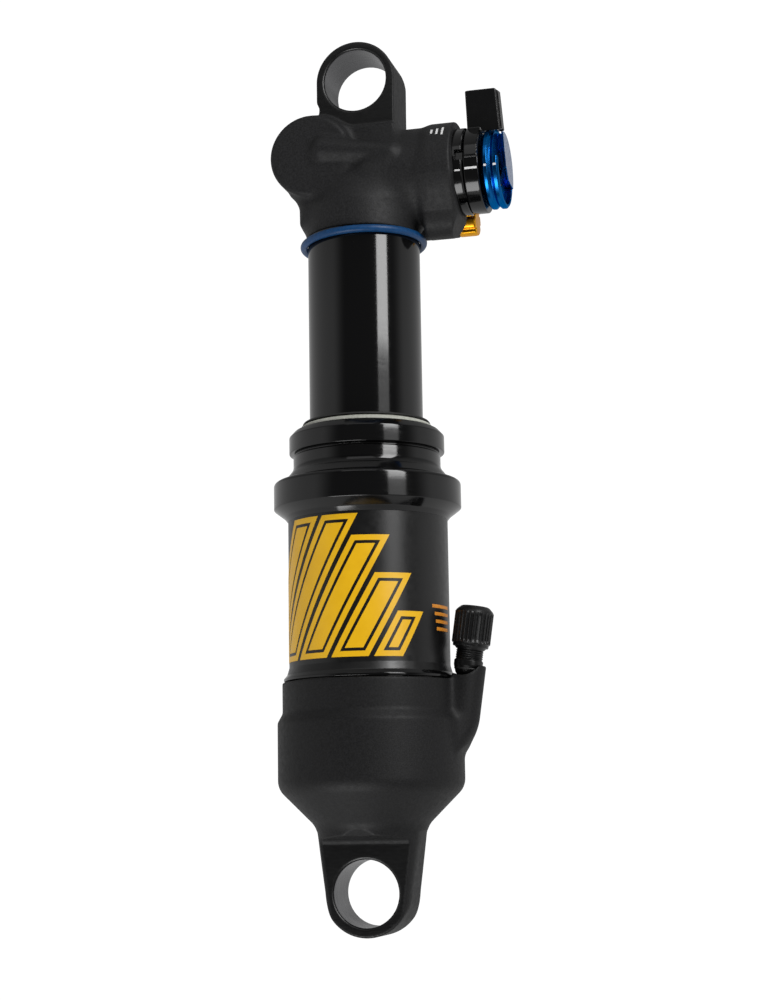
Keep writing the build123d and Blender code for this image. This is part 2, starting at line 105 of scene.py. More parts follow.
def soft_box(name, place, target, width, tall, radiance):
    """Rectangular lamp at a place, facing a target, both in metres."""
    data = bpy.data.lights.new(name, "AREA")
    data.shape = "RECTANGLE"
    data.size = width
    data.size_y = tall
    data.energy = radiance * math.pi * width * tall
    lamp = bpy.data.objects.new(name, data)
    bpy.context.collection.objects.link(lamp)
    lamp.location = place
    lamp.rotation_euler = (Vector(target) - Vector(place)).to_track_quat("-Z", "Y").to_euler()


def make_world():
    """Studio surround: dark in front, pale at the sides and behind, dimmer high up."""
    world = bpy.data.worlds.new("studio")
    bpy.context.scene.world = world
    world.use_nodes = True
    nodes, links = world.node_tree.nodes, world.node_tree.links
    place = nodes.new("ShaderNodeTexCoord")

    def shade(direction, start, end, low, high):
        """Brightness that goes from low to high as the view turns to a direction."""
        dot = nodes.new("ShaderNodeVectorMath")
        dot.operation = "DOT_PRODUCT"
        dot.inputs[1].default_value = direction
        links.new(place.outputs["Generated"], dot.inputs[0])
        ramp = nodes.new("ShaderNodeMapRange")
        ramp.interpolation_type = "SMOOTHSTEP"
        ramp.inputs["From Min"].default_value = start
        ramp.inputs["From Max"].default_value = end
        ramp.inputs["To Min"].default_value = low
        ramp.inputs["To Max"].default_value = high
        links.new(dot.outputs["Value"], ramp.inputs["Value"])
        return ramp.outputs["Result"]

    product = nodes.new("ShaderNodeMath")
    product.operation = "MULTIPLY"
    links.new(shade((0.3987, -0.9171, 0.0), 0.2, 0.66, 0.57, 0.09), product.inputs[0])
    links.new(shade((0.0, 0.0, 1.0), 0.2, 0.42, 1.0, 0.5), product.inputs[1])
    nodes["Background"].inputs["Color"].default_value = (1, 1, 1, 1)
    links.new(product.outputs["Value"], nodes["Background"].inputs["Strength"])


def make_stage():
    """White surround that only the camera sees."""
    white = bpy.data.materials.new("stage_white")
    white.use_nodes = True
    shader = white.node_tree.nodes["Principled BSDF"]
    shader.inputs["Base Color"].default_value = (0, 0, 0, 1)
    shader.inputs["Specular IOR Level"].default_value = 0
    shader.inputs["Emission Color"].default_value = (1, 1, 1, 1)
    shader.inputs["Emission Strength"].default_value = 1.05
    shape = bmesh.new()
    bmesh.ops.create_icosphere(shape, subdivisions=4, radius=6.0)
    dome_mesh = bpy.data.meshes.new("surround")
    shape.to_mesh(dome_mesh)
    shape.free()
    dome_mesh.materials.append(white)
    dome = bpy.data.objects.new("surround", dome_mesh)
    dome.visible_diffuse = dome.visible_glossy = dome.visible_shadow = False
    dome.visible_transmission = dome.visible_volume_scatter = False
    bpy.context.collection.objects.link(dome)


# ---- materials -----------------------------------------------------------------------
def material(name, colour, roughness, metallic=0.0, **sockets):
    """Principled material; extra sockets are named with underscores for spaces."""
    made = bpy.data.materials.new(name)
    made.use_nodes = True
    shader = made.node_tree.nodes["Principled BSDF"]
    shader.inputs["Base Color"].default_value = (*colour, 1)
    shader.inputs["Roughness"].default_value = roughness
    shader.inputs["Metallic"].default_value = metallic
    for socket, value in sockets.items():
        shader.inputs[socket.replace("_", " ")].default_value = value
    return made


def noise(made, scale, detail=2.0, stretch=(1, 1, 1)):
    """Noise over the object's own coordinates, with scale in cells per metre."""
    nodes, links = made.node_tree.nodes, made.node_tree.links
    place = nodes.new("ShaderNodeTexCoord")
    mapping = nodes.new("ShaderNodeMapping")
    mapping.inputs["Scale"].default_value = stretch
    links.new(place.outputs["Object"], mapping.inputs["Vector"])
    texture = nodes.new("ShaderNodeTexNoise")
    texture.inputs["Scale"].default_value = scale
    texture.inputs["Detail"].default_value = detail
    links.new(mapping.outputs["Vector"], texture.inputs["Vector"])
    return texture.outputs["Fac"]


def vary(made, socket, source, low, high, span=(0.3, 0.7)):
    """Drives a number socket from a texture, between low and high."""
    nodes, links = made.node_tree.nodes, made.node_tree.links
    ramp = nodes.new("ShaderNodeMapRange")
    ramp.inputs["From Min"].default_value = span[0]
    ramp.inputs["From Max"].default_value = span[1]
    ramp.inputs["To Min"].default_value = low
    ramp.inputs["To Max"].default_value = high
    links.new(source, ramp.inputs["Value"])
    links.new(ramp.outputs["Result"], nodes["Principled BSDF"].inputs[socket])


def tint(made, source, dark, light, span=(0.3, 0.7)):
    """Drives the base colour from a texture, between two colours."""
    nodes, links = made.node_tree.nodes, made.node_tree.links
    ramp = nodes.new("ShaderNodeValToRGB")
    ramp.color_ramp.elements[0].position = span[0]
    ramp.color_ramp.elements[0].color = (*dark, 1)
    ramp.color_ramp.elements[1].position = span[1]
    ramp.color_ramp.elements[1].color = (*light, 1)
    links.new(source, ramp.inputs["Fac"])
    links.new(ramp.outputs["Color"], nodes["Principled BSDF"].inputs["Base Color"])


def bump(made, source, height, strength=1.0):
    """Adds a bump of the given height in metres to the material's normal."""
    nodes, links = made.node_tree.nodes, made.node_tree.links
    shader = nodes["Principled BSDF"]
    node = nodes.new("ShaderNodeBump")
    node.inputs["Distance"].default_value = height
    node.inputs["Strength"].default_value = strength
    links.new(source, node.inputs["Height"])
    if shader.inputs["Normal"].links:
        links.new(shader.inputs["Normal"].links[0].from_socket, node.inputs["Normal"])
    links.new(node.outputs["Normal"], shader.inputs["Normal"])


def make_materials():
    """All materials by name."""
    kit = {}

    # Lit and shaded copies of one cast black: head_black is painted lighter than cast_black, a
    # painted stand-in for the stronger light that falls on the head.
    for name, level in (("cast", 0.0085), ("head", 0.0135)):
        cast = material(name + "_black", (level,) * 3, 0.55, Specular_IOR_Level=0.27)
        dark, light = 0.58 * level, 1.48 * level
        tint(cast, noise(cast, 2600, 3), (dark, dark, 1.05 * dark), (light, light, 1.05 * light))
        vary(cast, "Roughness", noise(cast, 900, 2), 0.5, 0.6)
        bump(cast, noise(cast, 3200, 3), 0.00006, 0.55)
        kit[name] = cast

    flat = material("machined_black", (0.004, 0.004, 0.0042), 0.34)
    vary(flat, "Roughness", noise(flat, 500, 2, (1, 1, 6)), 0.28, 0.4)
    bump(flat, noise(flat, 900, 2, (1, 1, 14)), 0.00001, 0.3)
    kit["flat"] = flat

    bore = material("reamed_bore", (0.1, 0.1, 0.105), 0.3, 0.6)
    vary(bore, "Roughness", noise(bore, 300, 3, (1, 14, 1)), 0.22, 0.4)
    kit["bore"] = bore

    gloss = material("gloss_black", (0.0024, 0.0024, 0.0026), 0.11)
    vary(gloss, "Roughness", noise(gloss, 240, 3, (1, 1, 12)), 0.08, 0.15)
    bump(gloss, noise(gloss, 160, 2, (1, 1, 20)), 0.000002, 0.25)
    kit["gloss"] = gloss

    tube = material("tube_black", (0.0024, 0.0024, 0.0026), 0.1)
    vary(tube, "Roughness", noise(tube, 400, 3, (1, 1, 16)), 0.07, 0.13)
    bump(tube, noise(tube, 700, 2, (1, 1, 24)), 0.0000012, 0.3)
    kit["tube"] = tube

    can = material("can_satin_black", (0.0045, 0.0045, 0.0047), 0.32)
    vary(can, "Roughness", noise(can, 700, 3), 0.29, 0.38)
    bump(can, noise(can, 1800, 3), 0.000006, 0.4)
    kit["can"] = can

    lever = material("lever_black", (0.004, 0.004, 0.0042), 0.2)
    vary(lever, "Roughness", noise(lever, 900, 3), 0.16, 0.26)
    bump(lever, noise(lever, 2400, 3), 0.000004, 0.3)
    kit["lever"] = lever

    blue = material(
        "blue_anodised", (0.008, 0.13, 0.4), 0.24, 1.0, Specular_Tint=(0.25, 0.6, 0.9, 1)
    )
    tint(blue, noise(blue, 500, 3, (8, 1, 1)), (0.006, 0.11, 0.36), (0.01, 0.15, 0.45))
    vary(blue, "Roughness", noise(blue, 900, 2, (10, 1, 1)), 0.2, 0.3)
    kit["blue"] = blue

    face = material("pale_blue_face", (0.42, 0.48, 0.62), 0.42, 0.7)
    tint(face, noise(face, 2400, 2), (0.27, 0.32, 0.45), (0.5, 0.56, 0.68), (0.4, 0.6))
    bump(face, noise(face, 2600, 1), 0.00008, 0.7)
    kit["face"] = face

    gold = material("gold_anodised", (0.92, 0.42, 0.015), 0.25, 1.0)
    tint(gold, noise(gold, 700, 3, (6, 1, 1)), (0.86, 0.36, 0.01), (0.98, 0.5, 0.03))
    vary(gold, "Roughness", noise(gold, 900, 2, (8, 1, 1)), 0.28, 0.38)
    kit["gold"] = gold

    ring = material("blue_rubber", (0.005, 0.05, 0.15), 0.4, Specular_IOR_Level=0.3)
    tint(ring, noise(ring, 1200, 3), (0.0035, 0.042, 0.13), (0.0055, 0.056, 0.17))
    bump(ring, noise(ring, 2600, 2), 0.000012, 0.4)
    kit["ring"] = ring

    rubber = material("black_rubber", (0.012, 0.012, 0.012), 0.5)
    tint(rubber, noise(rubber, 1500, 3), (0.009, 0.009, 0.009), (0.018, 0.018, 0.018))
    bump(rubber, noise(rubber, 3000, 2), 0.00001, 0.4)
    kit["rubber"] = rubber

    wiper = material("wiper_off_white", (0.56, 0.56, 0.5), 0.6)
    tint(wiper, noise(wiper, 1600, 3), (0.4, 0.41, 0.36), (0.54, 0.54, 0.49))
    bump(wiper, noise(wiper, 3600, 2), 0.00002, 0.5)
    kit["wiper"] = wiper

    cap = material("cap_plastic", (0.006, 0.006, 0.0063), 0.3)
    vary(cap, "Roughness", noise(cap, 1500, 3), 0.24, 0.38)
    bump(cap, noise(cap, 2800, 2), 0.00001, 0.35)
    kit["cap"] = cap

    stem = material("stem_black", (0.004, 0.004, 0.0042), 0.3, 0.2)
    vary(stem, "Roughness", noise(stem, 900, 3, (1, 1, 8)), 0.24, 0.38)
    kit["stem"] = stem

    yellow = material("decal_yellow", (0.9, 0.5, 0.006), 0.36)
    tint(yellow, noise(yellow, 300, 2), (0.87, 0.48, 0.005), (0.92, 0.52, 0.008))
    bump(yellow, noise(yellow, 2000, 3), 0.000004, 0.4)
    kit["yellow"] = yellow

    orange = material("ink_orange", (0.75, 0.27, 0.02), 0.45)
    tint(orange, noise(orange, 3000, 2), (0.6, 0.2, 0.015), (0.82, 0.32, 0.03))
    kit["orange"] = orange

    white = material("ink_white", (0.78, 0.78, 0.78), 0.45)
    tint(white, noise(white, 3000, 2), (0.7, 0.7, 0.7), (0.86, 0.86, 0.86))
    kit["white"] = white

    steel = material("ground_steel", (0.62, 0.62, 0.63), 0.22, 1.0)
    vary(steel, "Roughness", noise(steel, 500, 3, (1, 1, 14)), 0.16, 0.3)
    kit["steel"] = steel

    alloy = material("plain_alloy", (0.55, 0.55, 0.57), 0.34, 1.0)
    tint(alloy, noise(alloy, 700, 3), (0.5, 0.5, 0.52), (0.6, 0.6, 0.62))
    vary(alloy, "Roughness", noise(alloy, 500, 3, (1, 1, 10)), 0.26, 0.42)
    kit["alloy"] = alloy

    polymer = material("guide_polymer", (0.18, 0.22, 0.19), 0.5)
    tint(polymer, noise(polymer, 1800, 3), (0.14, 0.18, 0.15), (0.22, 0.27, 0.23))
    kit["polymer"] = polymer

    foam = material("bumper_foam", (0.1, 0.1, 0.1), 0.75)
    tint(foam, noise(foam, 2500, 4), (0.07, 0.07, 0.07), (0.14, 0.14, 0.14))
    bump(foam, noise(foam, 2500, 4), 0.00006, 0.6)
    kit["foam"] = foam
    return kit


# ---- mesh helpers --------------------------------------------------------------------
def add_piece(name, points, faces, looks, sharp=SHARP_ANGLE):
    """Makes an object from millimetre points, smooth except across edges over sharp degrees."""
    mesh = bpy.data.meshes.new(name)
    mesh.from_pydata([tuple(p) for p in np.asarray(points) * MM], [], faces)
    mesh.validate()
    piece = bpy.data.objects.new(name, mesh)
    bpy.context.collection.objects.link(piece)
    finish_mesh(piece, looks, sharp)
    return piece


def finish_mesh(piece, looks, sharp=SHARP_ANGLE):
    """Cleans the normals of a piece, shades it and gives it its materials."""
    shape = bmesh.new()
    shape.from_mesh(piece.data)
    bmesh.ops.remove_doubles(shape, verts=shape.verts, dist=1e-7)
    bmesh.ops.recalc_face_normals(shape, faces=shape.faces)
    shape.to_mesh(piece.data)
    shape.free()
    piece.data.shade_smooth()
    piece.data.set_sharp_from_angle(angle=math.radians(sharp))
    piece.data.materials.clear()
    for look in looks if isinstance(looks, (list, tuple)) else [looks]:
        piece.data.materials.append(look)


def rounded(corners):
    """Closed outline through (u, v, radius) corners, each turned into an arc."""
    outline, steps = [], 7
    for i, (u, v, radius) in enumerate(corners):
        here = Vector((u, v))
        before = Vector(corners[i - 1][:2]) - here
        after = Vector(corners[(i + 1) % len(corners)][:2]) - here
        if radius <= 0:
            outline.append((u, v))
            continue
        half = before.angle(after) / 2
        reach = min(radius / math.tan(half), 0.499 * before.length, 0.499 * after.length)
        bisector = (before.normalized() + after.normalized()).normalized()
        centre = here + bisector * reach / math.cos(half)
        start = here + before.normalized() * reach - centre
        end = here + after.normalized() * reach - centre
        sweep = start.angle_signed(end)
        for k in range(steps + 1):
            spoke = start.copy()
            spoke.rotate(Matrix.Rotation(-sweep * k / steps, 2))
            outline.append(tuple(centre + spoke))
    return outline


def lathe(name, corners, looks, place=UPRIGHT, segments=160, wave=None, sharp=SHARP_ANGLE):
    """Turns a closed (radius, height, corner radius) outline; wave(angle, r, h) may shift r."""
    outline = rounded(corners)
    points, faces = [], []
    count = len(outline)
    for i in range(segments):
        angle = TURN * i / segments
        for r, h in outline:
            radius = r if wave is None or r < 1e-6 else wave(angle, r, h)
            spot = Vector((radius * math.cos(angle), radius * math.sin(angle), h))
            points.append(tuple(place @ spot))
    for i in range(segments):
        ahead = (i + 1) % segments
        for j in range(count):
            k = (j + 1) % count
            if outline[j][0] < 1e-6 and outline[k][0] < 1e-6:
                continue
            faces.append((i * count + j, ahead * count + j, ahead * count + k, i * count + k))
    return add_piece(name, points, faces, looks, sharp)


def subtract(piece, cutters, looks):
    """Cuts a piece with other pieces, which are then removed."""
    for cutter in cutters:
        step = piece.modifiers.new("cut", "BOOLEAN")
        step.operation = "DIFFERENCE"
        step.solver = "EXACT"
        step.object = cutter
    depsgraph = bpy.context.evaluated_depsgraph_get()
    result = bpy.data.meshes.new_from_object(piece.evaluated_get(depsgraph))
    piece.modifiers.clear()
    old = piece.data
    piece.data = result
    result.name = piece.name
    bpy.data.meshes.remove(old)
    for cutter in cutters:
        bpy.data.objects.remove(cutter)
    finish_mesh(piece, looks)


def box_piece(name, low, high, looks, place):
    """Box between two corners, laid in place by a matrix."""
    points = [
        tuple(place @ Vector((x, y, z)))
        for x in (low[0], high[0])
        for y in (low[1], high[1])
        for z in (low[2], high[2])
    ]
    faces = [(0, 1, 3, 2), (4, 6, 7, 5), (0, 4, 5, 1), (2, 3, 7, 6), (0, 2, 6, 4), (1, 5, 7, 3)]
    return add_piece(name, points, faces, looks)


def bevel(piece, width):
    """Small bevel of the given width along the piece's hard edges."""
    edge = piece.modifiers.new("edge", "BEVEL")
    edge.width = width * MM
    edge.segments = 2
    edge.limit_method = "ANGLE"
    edge.angle_limit = math.radians(SHARP_ANGLE)
    edge.harden_normals = True


def printed(name, outlines, radius, place, looks, lift=(0.01, 0.07)):
    """Thin print on a cylinder about the place's Z, from (arc, height) outlines.

    The first outline is the edge and the others are holes.  Arcs start at the front, at -Y.
    """
    facet = 0.5
    flat = bmesh.new()
    for outline in outlines:
        loop = [flat.verts.new((arc, height, 0)) for arc, height in outline]
        for i, vertex in enumerate(loop):
            flat.edges.new((vertex, loop[(i + 1) % len(loop)]))
    bmesh.ops.triangle_fill(flat, edges=flat.edges[:], use_beauty=True, normal=(0, 0, 1))
    arcs = [vertex.co.x for vertex in flat.verts]
    crease = math.floor(min(arcs) / facet) * facet + facet
    while crease < max(arcs):
        everything = flat.verts[:] + flat.edges[:] + flat.faces[:]
        bmesh.ops.bisect_plane(flat, geom=everything, plane_co=(crease, 0, 0), plane_no=(1, 0, 0))
        crease += facet
    top = bmesh.ops.extrude_face_region(flat, geom=flat.faces[:])
    raised = {item for item in top["geom"] if isinstance(item, bmesh.types.BMVert)}
    for vertex in flat.verts:
        arc, height = vertex.co.x, vertex.co.y
        reach = radius + (lift[1] if vertex in raised else lift[0])
        angle = arc / radius
        spot = Vector((reach * math.sin(angle), -reach * math.cos(angle), height))
        vertex.co = (place @ spot) * MM
    mesh = bpy.data.meshes.new(name)
    flat.to_mesh(mesh)
    flat.free()
    piece = bpy.data.objects.new(name, mesh)
    bpy.context.collection.objects.link(piece)
    finish_mesh(piece, looks)
    return piece


# ---- signed distance fields ----------------------------------------------------------
class Field:
    """Grid of points for a cast part; every distance is negative inside the metal."""

    def __init__(self, low, high, step):
        self.low, self.step = np.array(low, dtype=float), step
        axes = [np.arange(a, b + step, step, dtype=np.float32) for a, b in zip(low, high)]
        self.x, self.y, self.z = np.meshgrid(*axes, indexing="ij", sparse=True)
        self.shape = tuple(len(axis) for axis in axes)

    def sample(self, values, points):
        """Values at points, by trilinear interpolation."""
        spot = (points - self.low) / self.step
        cell = np.clip(np.floor(spot).astype(int), 0, np.array(self.shape) - 2)
        part = spot - cell
        total = np.zeros(len(points))
        for offset in np.ndindex(2, 2, 2):
            weight = np.prod(np.where(offset, part, 1 - part), axis=1)
            index = cell + offset
            total += weight * values[index[:, 0], index[:, 1], index[:, 2]]
        return total

    def piece(self, name, values, looks):
        """Surface of the field as a piece, relaxed twice and put back on the surface."""
        values = np.array(np.broadcast_to(values, self.shape), dtype=np.float32, order="C")
        grid = openvdb.FloatGrid(3.0)
        grid.copyFromArray(values)
        points, quads = grid.convertToQuads(0.0)
        points = points.astype(float) * self.step + self.low
        nudge = self.step * 0.5
        ends = np.concatenate([quads[:, [i, (i + 1) % 4]] for i in range(4)])
        ends = np.concatenate([ends, ends[:, ::-1]])
        valence = np.bincount(ends[:, 0], minlength=len(points))[:, None]
        for _ in range(2):
            mean = np.stack(
                [np.bincount(ends[:, 0], points[ends[:, 1], a], len(points)) for a in range(3)], 1
            )
            points = 0.5 * points + 0.5 * mean / valence
            slope = np.stack(
                [
                    self.sample(values, points + nudge * np.eye(3)[a])
                    - self.sample(values, points - nudge * np.eye(3)[a])
                    for a in range(3)
                ],
                1,
            ) / (2 * nudge)
            size = np.maximum((slope**2).sum(1), 0.2)
            points -= slope * (self.sample(values, points) / size)[:, None]
        return add_piece(name, points, quads.tolist(), looks, 40.0)


def hypot(a, b):
    """Distance from two offsets."""
    return np.sqrt(a * a + b * b)


def corner(a, b, radius):
    """Overlap of two distances, with a rounded edge."""
    a, b = a + radius, b + radius
    return np.minimum(np.maximum(a, b), 0) + hypot(np.maximum(a, 0), np.maximum(b, 0)) - radius


def prism(across, along, low, high, edge=0.0):
    """Extrudes a flat distance along an axis between low and high, with rounded edges."""
    return corner(across, np.abs(along - (low + high) / 2) - (high - low) / 2, edge)


def join(a, b, blend=0.0):
    """Union of two distances, filleted over about the blend's length."""
    if blend <= 0:
        return np.minimum(a, b)
    share = np.clip(0.5 + 0.5 * (b - a) / blend, 0, 1)
    return b + (a - b) * share - blend * share * (1 - share)


def cut(a, b, blend=0.0):
    """First distance less the second, with its new edges rounded over the blend's length."""
    return -join(-a, b, blend)


def rod(f, start, end, start_radius, end_radius):
    """Tapered rod with round ends between two points."""
    start, end = np.array(start), np.array(end)
    way = end - start
    dx, dy, dz = f.x - start[0], f.y - start[1], f.z - start[2]
    share = np.clip((dx * way[0] + dy * way[1] + dz * way[2]) / (way @ way), 0, 1)
    gap = hypot(hypot(dx - share * way[0], dy - share * way[1]), dz - share * way[2])
    return gap - start_radius - (end_radius - start_radius) * share


def outline_distance(corners, u, v):
    """Distance to a rounded outline, looked up in a fine table."""
    outline = np.array(rounded(corners))
    fine = 0.08
    low = outline.min(0) - 6
    size = np.ceil((outline.max(0) + 6 - low) / fine).astype(int)
    axes = [low[i] + fine * np.arange(size[i]) for i in range(2)]
    gu, gv = np.meshgrid(*axes, indexing="ij")
    nearest = np.full(gu.shape, 1e9)
    inside = np.zeros(gu.shape, dtype=bool)
    for (au, av), (bu, bv) in zip(outline, np.roll(outline, -1, axis=0)):
        du, dv = bu - au, bv - av
        length = du * du + dv * dv
        if length < 1e-12:
            continue
        share = np.clip(((gu - au) * du + (gv - av) * dv) / length, 0, 1)
        nearest = np.minimum(nearest, (gu - au - share * du) ** 2 + (gv - av - share * dv) ** 2)
        if dv != 0:
            crosses = (av > gv) != (bv > gv)
            inside ^= crosses & (gu < au + (gv - av) / dv * du)
    table = (np.sqrt(nearest) * np.where(inside, -1, 1)).astype(np.float32)
    u, v = np.broadcast_arrays(u, v)
    iu = np.clip((u - low[0]) / fine, 0, size[0] - 1.001)
    iv = np.clip((v - low[1]) / fine, 0, size[1] - 1.001)
    cu, cv = iu.astype(np.int32), iv.astype(np.int32)
    pu, pv = iu - cu, iv - cv
    near = table[cu, cv] * (1 - pv) + table[cu, cv + 1] * pv
    far = table[cu + 1, cv] * (1 - pv) + table[cu + 1, cv + 1] * pv
    return near * (1 - pu) + far * pu


def ramp(value, low, high):
    """Smooth step from 0 at low to 1 at high."""
    share = np.clip((value - low) / (high - low), 0, 1)
    return share * share * (3 - 2 * share)


def eye_bore(f, z):
    """Eye bore with a thin chamfer at each face."""
    radial = hypot(f.x, f.z - z)
    mouth = (radial - EYE_BORE_R - 0.4 - np.abs(f.y) + EYE_HALF_WIDTH) * 0.7071
    return np.minimum(radial - EYE_BORE_R, mouth)


def paint_eye(piece, z, floor):
    """Gives an eye's flats and its bore their own materials, slots 1 and 2."""
    mesh = piece.data
    count = len(mesh.polygons)
    centres = np.empty(count * 3)
    normals = np.empty(count * 3)
    mesh.polygons.foreach_get("center", centres)
    mesh.polygons.foreach_get("normal", normals)
    x, y, height = centres.reshape(-1, 3).T / MM
    facing = np.abs(normals.reshape(-1, 3)[:, 1])
    flats = (facing > 0.97) & (np.abs(np.abs(y) - EYE_HALF_WIDTH) < 0.2)
    flats &= (height > floor) if z > 100 else (height < floor)
    radial = np.hypot(x, height - z)
    bore = (radial < EYE_BORE_R + 0.2) & (facing < 0.4)
    rim = (radial < EYE_BORE_R + 0.5) & (facing >= 0.4)
    slots = np.where(bore, 2, np.where(flats | rim, 1, 0)).astype(np.int32)
    mesh.polygons.foreach_set("material_index", slots)


# ---- can side ------------------------------------------------------------------------
def make_end_cap(kit):
    """End cap: eye lug, cone, rim and the leaning valve boss, blended as one casting."""
    f = Field((-22.6, -22.6, -10.6), (29.6, 22.6, 52.6), 0.27)
    radial = hypot(f.x, f.y)
    body = outline_distance(
        [
            (0, -12, 0),
            (9.75, -12, 0),
            (12.6, 14.7, 5.0),
            (CAP_R, 23.4, 4.5),
            (CAP_R, 38.3, 1.6),
            (20.13, 40.4, 1.6),
            (20.13, CAP_TOP_Z, 0.4),
            (0, CAP_TOP_Z, 0),
        ],
        radial,
        f.z,
    )
    near = EYE_HALF_WIDTH - np.abs(f.y)
    body = cut(body, corner(near, f.z - 11.9 + 0.15 * near, 1.25), 0.45)
    side = np.where(f.z < 0.26, hypot(f.x, f.z - 0.26) - 10.0, np.abs(f.x) - 9.96 - 0.154 * f.z)
    body = cut(body, -np.minimum(side, 13.5 - f.z), 0.5)

    lean, rise = math.sin(VALVE_TILT), math.cos(VALVE_TILT)
    along = (f.x - VALVE.x) * lean + (f.z - VALVE.z) * rise
    aside = (f.x - VALVE.x) * rise - (f.z - VALVE.z) * lean
    boss = prism(hypot(aside, f.y) - 4.1, along, -28, -8.9, 0.35)
    under = (f.x - CAP_R) * 0.74 - (f.z - 31.0) * 0.673
    boss = cut(boss, -under, 2.2)
    body = join(body, boss, 2.6)
    scoop = hypot(aside + 1.0, along + 7.2) - 4.35
    body = cut(body, np.maximum(scoop, 17.5 - f.x), 0.35)
    body = cut(body, np.maximum(radial - 20.15, CAP_TOP_Z - f.z), 0.2)

    cavity = prism(radial - 18.0, f.z, 24, 39.2)
    mouth = prism(radial - 18.25, f.z, 39.0, 60)
    body = cut(body, np.minimum(cavity, mouth), 0.2)
    body = cut(body, hypot(aside, f.y) - 2.3 + np.maximum(-16 - along, 0))
    body = cut(body, eye_bore(f, 0.0))
    piece = f.piece("end_cap", body, [kit["cast"], kit["flat"], kit["bore"]])
    paint_eye(piece, 0.0, 11.5)
    return piece


def make_can(kit):
    """Sleeve of the air chamber: satin, with a glossy foot below its flared lip."""
    piece = lathe(
        "air_sleeve",
        [
            (16.5, 40, 0),
            (18.2, 40, 0.3),
            (18.2, 47.6, 0),
            (19.75, 47.6, 0.25),
            (19.8, 48.2, 0.3),
            (19.0, 49.1, 0.9),
            (18.5, 50.8, 1.2),
            (CAN_R, 84.5, 0),
            (17.8, 84.5, 0),
            (17.8, 92, 0.3),
            (16.5, 92, 0),
        ],
        [kit["can"], kit["gloss"]],
        segments=256,
    )
    foot_top = 49.0
    for face in piece.data.polygons:
        face.material_index = 1 if face.center.z < foot_top * MM else 0
    return piece


def make_seal_head(kit):
    """Flanged head of the can with its neck, groove and upper ring."""
    return lathe(
        "seal_head_shell",
        [
            (17.85, 84.5, 0),
            (18.5, 84.5, 0.15),
            (19.4, 85.6, 1.6),
            (21.75, 87.4, 0.35),
            (21.75, 93.5, 1.0),
            (19.4, 93.9, 1.2),
            (17.15, 96.6, 2.4),
            (17.15, 99.75, 0.25),
            (16.7, 99.9, 0.1),
            (16.7, 100.25, 0.1),
            (18.1, 100.4, 0.3),
            (18.1, 104.3, 0.5),
            (16.9, 105.6, 0.5),
            (16.1, 106.0, 0.2),
            (15.62, 106.0, 0.15),
            (15.62, 103.0, 0),
            (13.55, 103.0, 0),
            (13.55, 92.2, 0),
            (17.85, 92.2, 0),
        ],
        kit["gloss"],
        segments=256,
    )


def make_wiper(kit):
    """Off-white backing ring and the thin black lip that stands above it."""
    backing = lathe(
        "wiper_backing",
        [(14.0, 103.05, 0), (15.58, 103.05, 0), (15.58, 106.7, 0.9), (14.0, 107.3, 0)],
        kit["wiper"],
        segments=192,
    )
    lip = lathe(
        "wiper_edge",
        [
            (13.3, 103.6, 0),
            (13.95, 103.6, 0),
            (13.95, 107.3, 0),
            (15.0, 107.3, 0.1),
            (14.7, 107.75, 0.2),
            (13.3, 107.8, 0),
        ],
        kit["rubber"],
        segments=192,
    )
    return backing, lip


def parallelogram(left, right, low, high, slant):
    """Leaning bar between two heights; slant is the arc gained over its height."""
    return [(left, low), (right, low), (right + slant, high), (left + slant, high)]


def inset(outline, amount):
    """Outline moved inwards by an amount, corner by corner, for a convex outline."""
    moved = []
    for i, point in enumerate(outline):
        here = Vector(point)
        before = (here - Vector(outline[i - 1])).normalized()
        after = (Vector(outline[(i + 1) % len(outline)]) - here).normalized()
        left_a, left_b = Vector((-before.y, before.x)), Vector((-after.y, after.x))
        reach = amount / max(0.2, (1 + left_a.dot(left_b)) / 2) ** 0.5
        moved.append(tuple(here + (left_a + left_b).normalized() * reach))
    return moved


def make_can_prints(kit):
    """Leaning yellow bars with an inner outline, and four plain orange lines by the valve."""
    pieces = []
    low, top, lean = 51.9, 83.9, 0.55
    bars = [
        (-33.4, -24.8, top),
        (-23.6, -15.0, top),
        (-13.8, -5.2, 79.0),
        (-4.0, 4.6, 70.5),
        (5.8, 12.4, 62.0),
    ]
    for number, (left, right, high) in enumerate(bars):
        bar = parallelogram(left, right, low, high, lean * (high - low))
        shapes = {"frame": [bar, inset(bar, 1.25)], "core": [inset(bar, 1.95)]}
        for part, outlines in shapes.items():
            name = f"stripe_{part}_{number + 1}"
            pieces.append(printed(name, outlines, CAN_R, UPRIGHT, kit["yellow"]))
    lines = [(21.0, 29.0, 63.2), (21.9, 29.0, 61.5), (22.3, 29.0, 59.8), (22.6, 29.0, 58.1)]
    for number, (left, right, height) in enumerate(lines):
        line = parallelogram(left, right, height, height + 0.75, 0.0)
        name = f"note_line_{number + 1}"
        pieces.append(printed(name, [line], CAN_R, UPRIGHT, kit["orange"], (0.01, 0.05)))
    return pieces


